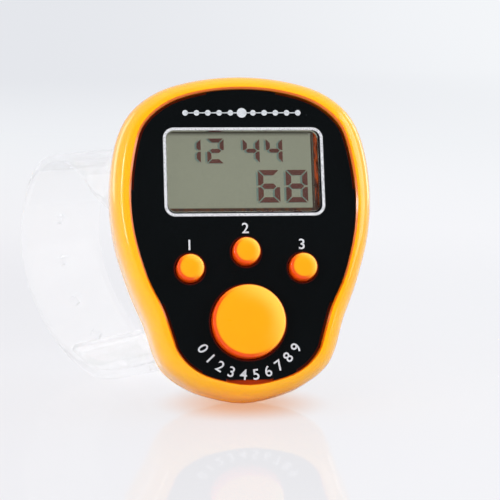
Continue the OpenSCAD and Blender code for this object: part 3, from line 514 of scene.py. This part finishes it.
def strapRoute(run):
    outY = run["depth"] + run["exit"]
    start = sideView(outY, run["exitLow"])
    fromStart = lambda y, z: sideView(y, z) - Vector((start.x, 0))
    lowY, lowZ = run["midY"] + run["lowBend"], run["exitLow"] + run["lowBend"]
    pocket = [fromStart(outY, run["exitLow"])]
    for k in range(run["steps"] + 1):
        a = math.radians(90 * k / run["steps"])
        pocket.append(fromStart(lowY - run["lowBend"] * math.sin(a), lowZ - run["lowBend"] * math.cos(a)))
    for k in range(run["steps"] + 1):
        a = math.radians(run["topTurn"] * k / run["steps"])
        endY = run["midY"] + run["topBend"] * (1 - math.cos(a))
        endZ = run["topStart"] + run["topBend"] * math.sin(a)
        pocket.append(fromStart(endY, endZ))
    topExit = fromStart(outY, endZ + (outY - endY) / math.sin(a) * math.cos(a))

    def loop(low):
        p = [fromStart(endY, endZ), topExit]
        p += [Vector((x * run["reach"], low + z * run["rise"])) for x, z in run["shares"]]
        return [easedStep(p[i - 1], p[i], p[i + 1], p[min(i + 2, len(p) - 1)], k / run["steps"])
                for i in range(1, len(p) - 1) for k in range(run["steps"])]

    outer = loop(run["thick"] / 2 - min(q.y for q in loop(0)))

    def passed(share):
        return next(i for i in range(len(outer) // 2, len(outer)) if outer[i].x < share * run["reach"])

    def lifted(i):
        t = outer[min(i + 1, len(outer) - 1)] - outer[max(i - 1, 0)]
        return outer[i] + Vector((t.y, -t.x)).normalized() * (run["thick"] + run["gap"])

    lap = [lifted(i) for i in range(passed(run["lap"]), len(outer))]
    inner = lap + [lap[-1].lerp(pocket[0], k / run["steps"]) for k in range(1, run["steps"])]
    return inner, pocket, outer, passed(run["stud"]), passed(run["lap"]), start.x


def strapFrames(run):
    inner, pocket, outer, studAt, lapAt, startY = strapRoute(run)
    line = inner + pocket + outer
    turn = math.radians(run["swing"])

    def inSpace(q):
        swung = math.hypot(max(q.x - run["lead"], 0), run["turnR"]) - run["turnR"]
        return Vector((-math.sin(turn) * swung, startY + q.x - (1 - math.cos(turn)) * swung, q.y))

    def across(u):
        t = min(max(u - run["lead"], 0) / run["twist"], 1)
        a = turn * t * t * (3 - 2 * t)
        return Vector((math.cos(a), math.sin(a), 0))

    spine = [inSpace(q) for q in line]
    sides = [across(q.x) for q in line]
    ups = []
    for i, side in enumerate(sides):
        along = (spine[min(i + 1, len(spine) - 1)] - spine[max(i - 1, 0)]).normalized()
        ups.append(side.cross(along).normalized())
    travelled = [0]
    for i in range(1, len(spine)):
        travelled.append(travelled[-1] + (spine[i] - spine[i - 1]).length)
    first = len(inner) + len(pocket)
    return spine, sides, ups, travelled, first + studAt, lapAt, first


def strapPiece(run):
    spine, sides, ups, travelled, stud, lapAt, first = strapFrames(run)
    total = travelled[-1]

    def at(s):
        i = next((i for i in range(1, len(travelled)) if travelled[i] >= s), len(travelled) - 1)
        f = (s - travelled[i - 1]) / (travelled[i] - travelled[i - 1])
        return (spine[i - 1].lerp(spine[i], f), sides[i - 1].lerp(sides[i], f).normalized(),
                ups[i - 1].lerp(ups[i], f).normalized())

    bm = bmesh.new()
    bmesh.ops.create_grid(bm, x_segments=run["columns"], y_segments=int(total / run["row"]), size=0.5)
    for vert in bm.verts:
        vert.co = Vector((vert.co.x * run["width"], (vert.co.y + 0.5) * total, 0))
    slab = bmesh.ops.extrude_face_region(bm, geom=bm.faces[:])
    for item in slab["geom"]:
        if isinstance(item, bmesh.types.BMVert):
            item.co.z += run["thick"]
    bmesh.ops.translate(bm, verts=bm.verts, vec=(0, 0, -run["thick"] / 2))
    bmesh.ops.recalc_face_normals(bm, faces=bm.faces)
    flat = bpy.data.meshes.new("strapFlat")
    bm.to_mesh(flat)
    bm.free()
    band = bpy.data.objects.new("strapFlat", flat)
    scene.collection.objects.link(band)
    # Holes, counted back along the strap from the stud, and one in the short end that lies under the loose one
    spots = [travelled[stud] - k * run["pitch"] for k in range(run["holes"])]
    punches = bmesh.new()
    for s in spots + [travelled[stud - first - lapAt]]:
        bmesh.ops.create_cone(punches, cap_ends=True, segments=run["holeSides"], radius1=run["hole"] / 2,
                              radius2=run["hole"] / 2, depth=run["thick"] * 3,
                              matrix=Matrix.Translation((0, s, 0)))
    punchMesh = bpy.data.meshes.new("strapPunch")
    punches.to_mesh(punchMesh)
    punches.free()
    punch = bpy.data.objects.new("strapPunch", punchMesh)
    scene.collection.objects.link(punch)
    cut = band.modifiers.new("holes", "BOOLEAN")
    cut.operation, cut.object, cut.solver = "DIFFERENCE", punch, "EXACT"
    soften = band.modifiers.new("edge", "BEVEL")
    soften.width, soften.segments, soften.limit_method = run["rounding"], run["roundSteps"], "ANGLE"
    soften.angle_limit = math.radians(run["roundFrom"])
    bpy.context.view_layer.update()
    mesh = bpy.data.meshes.new_from_object(band.evaluated_get(bpy.context.evaluated_depsgraph_get()))
    bpy.data.objects.remove(band)
    bpy.data.objects.remove(punch)
    for vert in mesh.vertices:
        place, side, up = at(min(max(vert.co.y, 0), total))
        vert.co = (place + side * vert.co.x + up * vert.co.z) * mm
    for face in mesh.polygons:
        face.use_smooth = True
    mesh.name = "strap"
    piece = bpy.data.objects.new("strap", mesh)
    scene.collection.objects.link(piece)
    return piece


strapFinish = clearFinish("clearStrap", (1, 1, 1), rough=0.07, ior=1.16, ripple=0.002, faint=0.77, size=0.8)
strapFinish.set("Transmission Weight", 0.84)
strapFinish.set("Coat Weight", 0.1)
strap = strapPiece(strapRun)
strap.data.materials.clear()
strap.data.materials.append(strapFinish.material)
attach(strap, "housing")
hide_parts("strap")
finishes["clear_stud"] = clearFinish("clearStud", tone(250, 251, 252), rough=0.08, ior=1.2, ripple=0.002,
                                     faint=0.6, size=0.5)
print("strap made")

# Printed marks on the plate: plain numerals, an arc of digits and a row of beads
marks = {"lift": 0.012, "thick": 0.012, "bolder": 0.02, "small": 1.85, "arc": 1.85, "arcR": 6.55,
         "keys": [(-7, -1.65, "1"), (0, 0.42, "2"), (7, -1.65, "3")], "count": (0, -11.28),
         "digits": "0123456789", "spread": 122,
         "beads": {"z": 15.2, "wide": 14.2, "count": 11, "r": 0.36, "middle": 0.62, "cord": 0.12,
                   "sides": 24}}
printFinish = plain("printedMark", tone(220, 223, 226), tone(196, 200, 204), size=0.12, rough=0.45)


def printed(pieceName, letters, size, place, turn=0):
    words = bpy.data.curves.new(pieceName, "FONT")
    words.body, words.size, words.extrude = letters, size * mm, marks["thick"] / 2 * mm
    words.align_x, words.align_y = "CENTER", "CENTER"
    words.offset = marks["bolder"] * mm
    holder = bpy.data.objects.new(pieceName, words)
    scene.collection.objects.link(holder)
    bpy.context.view_layer.update()
    mesh = bpy.data.meshes.new_from_object(holder.evaluated_get(bpy.context.evaluated_depsgraph_get()))
    bpy.data.objects.remove(holder)
    upright = Matrix.Rotation(math.radians(90), 4, "X")
    spin = Matrix.Rotation(math.radians(turn), 4, "Y")
    onPlate = Matrix.Translation(Vector((place[0], -marks["lift"], place[1])) * mm)
    mesh.transform(standing @ onPlate @ spin @ upright)
    mesh.name = pieceName
    mesh.materials.clear()
    mesh.materials.append(printFinish.material)
    piece = bpy.data.objects.new(pieceName, mesh)
    scene.collection.objects.link(piece)
    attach(piece, "housing")


for x, z, numeral in marks["keys"]:
    printed("numeral" + numeral, numeral, marks["small"], (x, z))
for place, digit in enumerate(marks["digits"]):
    a = (place / (len(marks["digits"]) - 1) - 0.5) * marks["spread"]
    x = marks["count"][0] + marks["arcR"] * math.sin(math.radians(a))
    z = marks["count"][1] - marks["arcR"] * math.cos(math.radians(a))
    if digit == "9":  # a nine is a six the other way up
        printed("arcDigit9", "6", marks["arc"], (x, z), 180 - a)
    else:
        printed("arcDigit" + digit, digit, marks["arc"], (x, z), -a)


def beadRow(look):
    bm = bmesh.new()
    for k in range(look["count"]):
        x = (k / (look["count"] - 1) - 0.5) * look["wide"]
        r = look["middle"] if k == look["count"] // 2 else look["r"]
        bmesh.ops.create_circle(bm, cap_ends=True, segments=look["sides"], radius=r,
                                matrix=Matrix.Translation((x, 0, 0)))
    strung = bmesh.ops.create_grid(bm, x_segments=1, y_segments=1, size=0.5)["verts"]
    bmesh.ops.scale(bm, vec=(look["wide"], look["cord"], 1), verts=strung)
    bmesh.ops.solidify(bm, geom=bm.faces[:], thickness=-marks["thick"])
    mesh = bpy.data.meshes.new("beadRow")
    bm.to_mesh(mesh)
    bm.free()
    mesh.transform(standing @ Matrix.Translation(Vector((0, -marks["lift"] / 2, look["z"])) * mm)
                   @ Matrix.Rotation(math.radians(90), 4, "X") @ Matrix.Scale(mm, 4))
    mesh.materials.append(printFinish.material)
    piece = bpy.data.objects.new("beadRow", mesh)
    scene.collection.objects.link(piece)
    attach(piece, "housing")


beadRow(marks["beads"])
print("marks printed")

# Solids that keep their own shape get a finish by their slot
for node in nodes.values():
    for place in node.material_slots:
        slotName = place.material.name.split(".")[0] if place.material else ""
        if slotName in finishes:
            place.material = finishes[slotName].material
nodes["lcd_rear_polariser"].material_slots[0].material = reflector.material
nodes["lcd_rear_glass"].material_slots[0].material = groundFinish.material

# Painted shadow: the figures' soft shade on the ground behind them, as a copy of the figures set a little
# aside and behind
shadeLook = {"aside": -0.26, "behind": 0.012, "down": -0.04}
shadeMesh = nodes["lcd_figures"].data.copy()
shadeMesh.name = "figureShade"
shadeShift = Vector((shadeLook["aside"], shadeLook["behind"], shadeLook["down"])) * mm
shadeMesh.transform(standing @ Matrix.Translation(shadeShift) @ standing.inverted())
shadeMesh.materials.clear()
shadeMesh.materials.append(shadeFinish.material)
shade = bpy.data.objects.new("figureShade", shadeMesh)
scene.collection.objects.link(shade)
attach(shade, "housing")
print("solids finished")

# Floor with a curved rise to its wall
studio = {
    "wide": 3, "back": 1.2, "curve": 0.5, "curveSteps": 16, "high": 2.5,
    "pale": (tone(244, 243, 246), tone(249, 249, 252)), "paleX": (-0.05, 0.05),
    "warmGlow": tone(242, 192, 160), "warmReach": (0.002, 0.012),
    "far": (tone(244, 246, 249), tone(229, 231, 236)), "farReach": (0.05, 0.5), "leftX": (-0.05, 0.45),
    "leftY": (0.05, 1.1), "end": tone(243, 245, 250), "endReach": (1.0, 2.5),
    "glossShare": 0.78, "glowNear": 0.85, "glowRise": 0.15,
    "mirror": 1.2, "mirrorRough": 0.05, "mirrorIor": 1.1, "mirrorReach": (0.08, 0.2),
    "shader": {"Base Color": tone(236, 237, 243), "Roughness": 0.9, "Specular IOR Level": 0}}


def floorSweep(look):
    wide, back, curve = look["wide"], look["back"], look["curve"]
    bm = bmesh.new()
    front, rear = bm.verts.new((-wide, -wide, 0)), bm.verts.new((-wide, back, 0))
    bm.edges.new((front, rear))
    bmesh.ops.spin(bm, geom=[rear], cent=(-wide, back, curve), axis=(1, 0, 0), angle=math.radians(90),
                   steps=look["curveSteps"])
    last = max(bm.verts, key=lambda v: v.co.y + v.co.z)
    bm.edges.new((last, bm.verts.new((-wide, last.co.y, look["high"]))))
    swept = bmesh.ops.extrude_edge_only(bm, edges=bm.edges[:])["geom"]
    farSide = [item for item in swept if isinstance(item, bmesh.types.BMVert)]
    bmesh.ops.translate(bm, verts=farSide, vec=(2 * wide, 0, 0))
    bmesh.ops.recalc_face_normals(bm, faces=bm.faces)
    if min(bm.faces, key=lambda f: f.calc_center_median().z).normal.z < 0:
        bmesh.ops.reverse_faces(bm, faces=bm.faces)
    for face in bm.faces:
        face.smooth = True
    mesh = bpy.data.meshes.new("floor")
    bm.to_mesh(mesh)
    bm.free()
    return mesh


# The floor glows where the camera looks at it, is a little darker on the left of its wall, takes a painted
# warm glow of bounced light under the object and mirrors the object near its foot
def floorSheet(look):
    finish = Finish("floorSheet", look["shader"])
    x, y, z = finish.split(finish.coords())
    reach = finish.wire("ShaderNodeVectorMath", {"operation": "LENGTH"}, {0: finish.coords()}, "Value")
    far = reach.between(*look["farReach"])
    rays = finish.node("ShaderNodeLightPath", {}, {}).outputs
    kinds = ("Is Camera Ray", "Is Transmission Ray", "Is Glossy Ray")
    direct, clear, gloss = [Wire(finish, rays[kind]) for kind in kinds]
    seen = largest([direct, clear, gloss * far * look["glossShare"]])
    end = x.calc("ABSOLUTE").calc("MAXIMUM", y * -1).between(*look["endReach"])
    leftWall = (1 - x.between(*look["leftX"])) * y.between(*look["leftY"])
    farTone = finish.mix(end, finish.mix(leftWall, *look["far"]), look["end"])
    paleTone = finish.mix(x.between(*look["paleX"]), *look["pale"])
    # Painted warm glow of bounced light on the floor close under the object
    nearTone = finish.mix(reach.between(*look["warmReach"]), look["warmGlow"], paleTone)
    glow = finish.wire("ShaderNodeEmission", {}, {"Color": finish.mix(far, nearTone, farTone)})
    glowing = seen * (far * look["glowRise"] + look["glowNear"])
    matt = Wire(finish, finish.shader.outputs[0])
    sheet = finish.wire("ShaderNodeMixShader", {}, {0: glowing, 1: matt, 2: glow})
    shine = {"Color": (1, 1, 1), "Roughness": look["mirrorRough"]}
    mirror = finish.wire("ShaderNodeBsdfAnisotropic", {}, shine)
    grazing = finish.wire("ShaderNodeFresnel", {}, {"IOR": look["mirrorIor"]})
    polish = (1 - reach.between(*look["mirrorReach"])) * grazing * look["mirror"]
    finish.show(finish.wire("ShaderNodeMixShader", {}, {0: polish, 1: sheet, 2: mirror}).socket)
    return finish


floor = bpy.data.objects.new("floor", floorSweep(studio))
floor.data.materials.append(floorSheet(studio).material)
scene.collection.objects.link(floor)

# World: pale to the camera and through clear parts, plain on the object, dark in front to keep the plate black
sky = {"seen": tone(243, 245, 250), "plain": (0.95, 0.97, 1), "plainLevel": 0.45,
       "gloss": tone(246, 247, 251), "From Min": -0.6, "From Max": 0.1, "To Min": 0.07, "To Max": 0.95}
world = bpy.data.worlds.new("studio")
world.use_nodes = True
scene.world = world
tree = world.node_tree
tree.nodes.clear()


def skyNode(kind, settings, values):
    made = tree.nodes.new(kind)
    for name, value in settings.items():
        setattr(made, name, value)
    for name, value in values.items():
        if isinstance(value, bpy.types.NodeSocket):
            tree.links.new(value, made.inputs[name])
        else:
            made.inputs[name].default_value = value
    return made.outputs


def skyGlow(colour, level):
    return skyNode("ShaderNodeBackground", {}, {"Color": (*colour, 1), "Strength": level})[0]


rays = skyNode("ShaderNodeLightPath", {}, {})
facing = skyNode("ShaderNodeSeparateXYZ", {}, {0: skyNode("ShaderNodeTexCoord", {}, {})["Generated"]})
limits = {name: sky[name] for name in ("From Min", "From Max", "To Min", "To Max")}
smooth = {"interpolation_type": "SMOOTHSTEP"}
behind = skyNode("ShaderNodeMapRange", smooth, {"Value": facing["Y"], **limits})[0]
either = {0: rays["Is Camera Ray"], 1: rays["Is Transmission Ray"]}
isSeen = skyNode("ShaderNodeMath", {"operation": "MAXIMUM"}, either)[0]
plainSky, glossSky = skyGlow(sky["plain"], sky["plainLevel"]), skyGlow(sky["gloss"], behind)
unseen = skyNode("ShaderNodeMixShader", {}, {0: rays["Is Glossy Ray"], 1: plainSky, 2: glossSky})[0]
whole = skyNode("ShaderNodeMixShader", {}, {0: isSeen, 1: unseen, 2: skyGlow(sky["seen"], 1)})[0]
skyNode("ShaderNodeOutputWorld", {}, {"Surface": whole})

lamps = [
    {"name": "leftStrip", "place": (-0.5, -0.03, 0.06), "size": (0.03, 0.5), "power": 0.95, "shine": True},
    {"name": "leftBack", "place": (-0.33, 0.4, 0.06), "size": (0.12, 0.5), "power": 0.3, "shine": True},
    {"name": "rightBack", "place": (0.38, 0.35, 0.08), "size": (0.1, 0.4), "power": 0.3, "shine": True},
    {"name": "lowFront", "place": (0.02, -0.5, 0.03), "size": (0.4, 0.05), "power": 0.25, "shine": False},
    {"name": "leftFront", "place": (-0.42, -0.45, 0.22), "size": (0.5, 0.5), "power": 1.75, "shine": False},
    {"name": "rightBox", "place": (0.5, -0.1, 0.25), "size": (0.4, 0.5), "power": 1.9, "shine": True},
    {"name": "topBox", "place": (0.05, 0.1, 0.6), "size": (0.7, 0.7), "power": 2.2, "shine": False},
]
lampAim = (0, 0, 0.02)

# The lamps that show in the object's gloss leave the floor out, or they would show in its gloss too
besidesFloor = bpy.data.collections.new("besidesFloor")
besidesFloor.objects.link(floor)
besidesFloor.collection_objects[0].light_linking.link_state = "EXCLUDE"
for lamp in lamps:
    light = bpy.data.lights.new(lamp["name"], "AREA")
    light.shape, light.energy = "RECTANGLE", lamp["power"]
    light.size, light.size_y = lamp["size"]
    holder = bpy.data.objects.new(lamp["name"], light)
    holder.location = lamp["place"]
    holder.visible_camera, holder.visible_glossy = False, lamp["shine"]
    if lamp["shine"]:
        holder.light_linking.receiver_collection = besidesFloor
    aim = Vector(lampAim) - Vector(lamp["place"])
    holder.rotation_euler = aim.to_track_quat("-Z", "Y").to_euler()
    scene.collection.objects.link(holder)
print("studio lit")
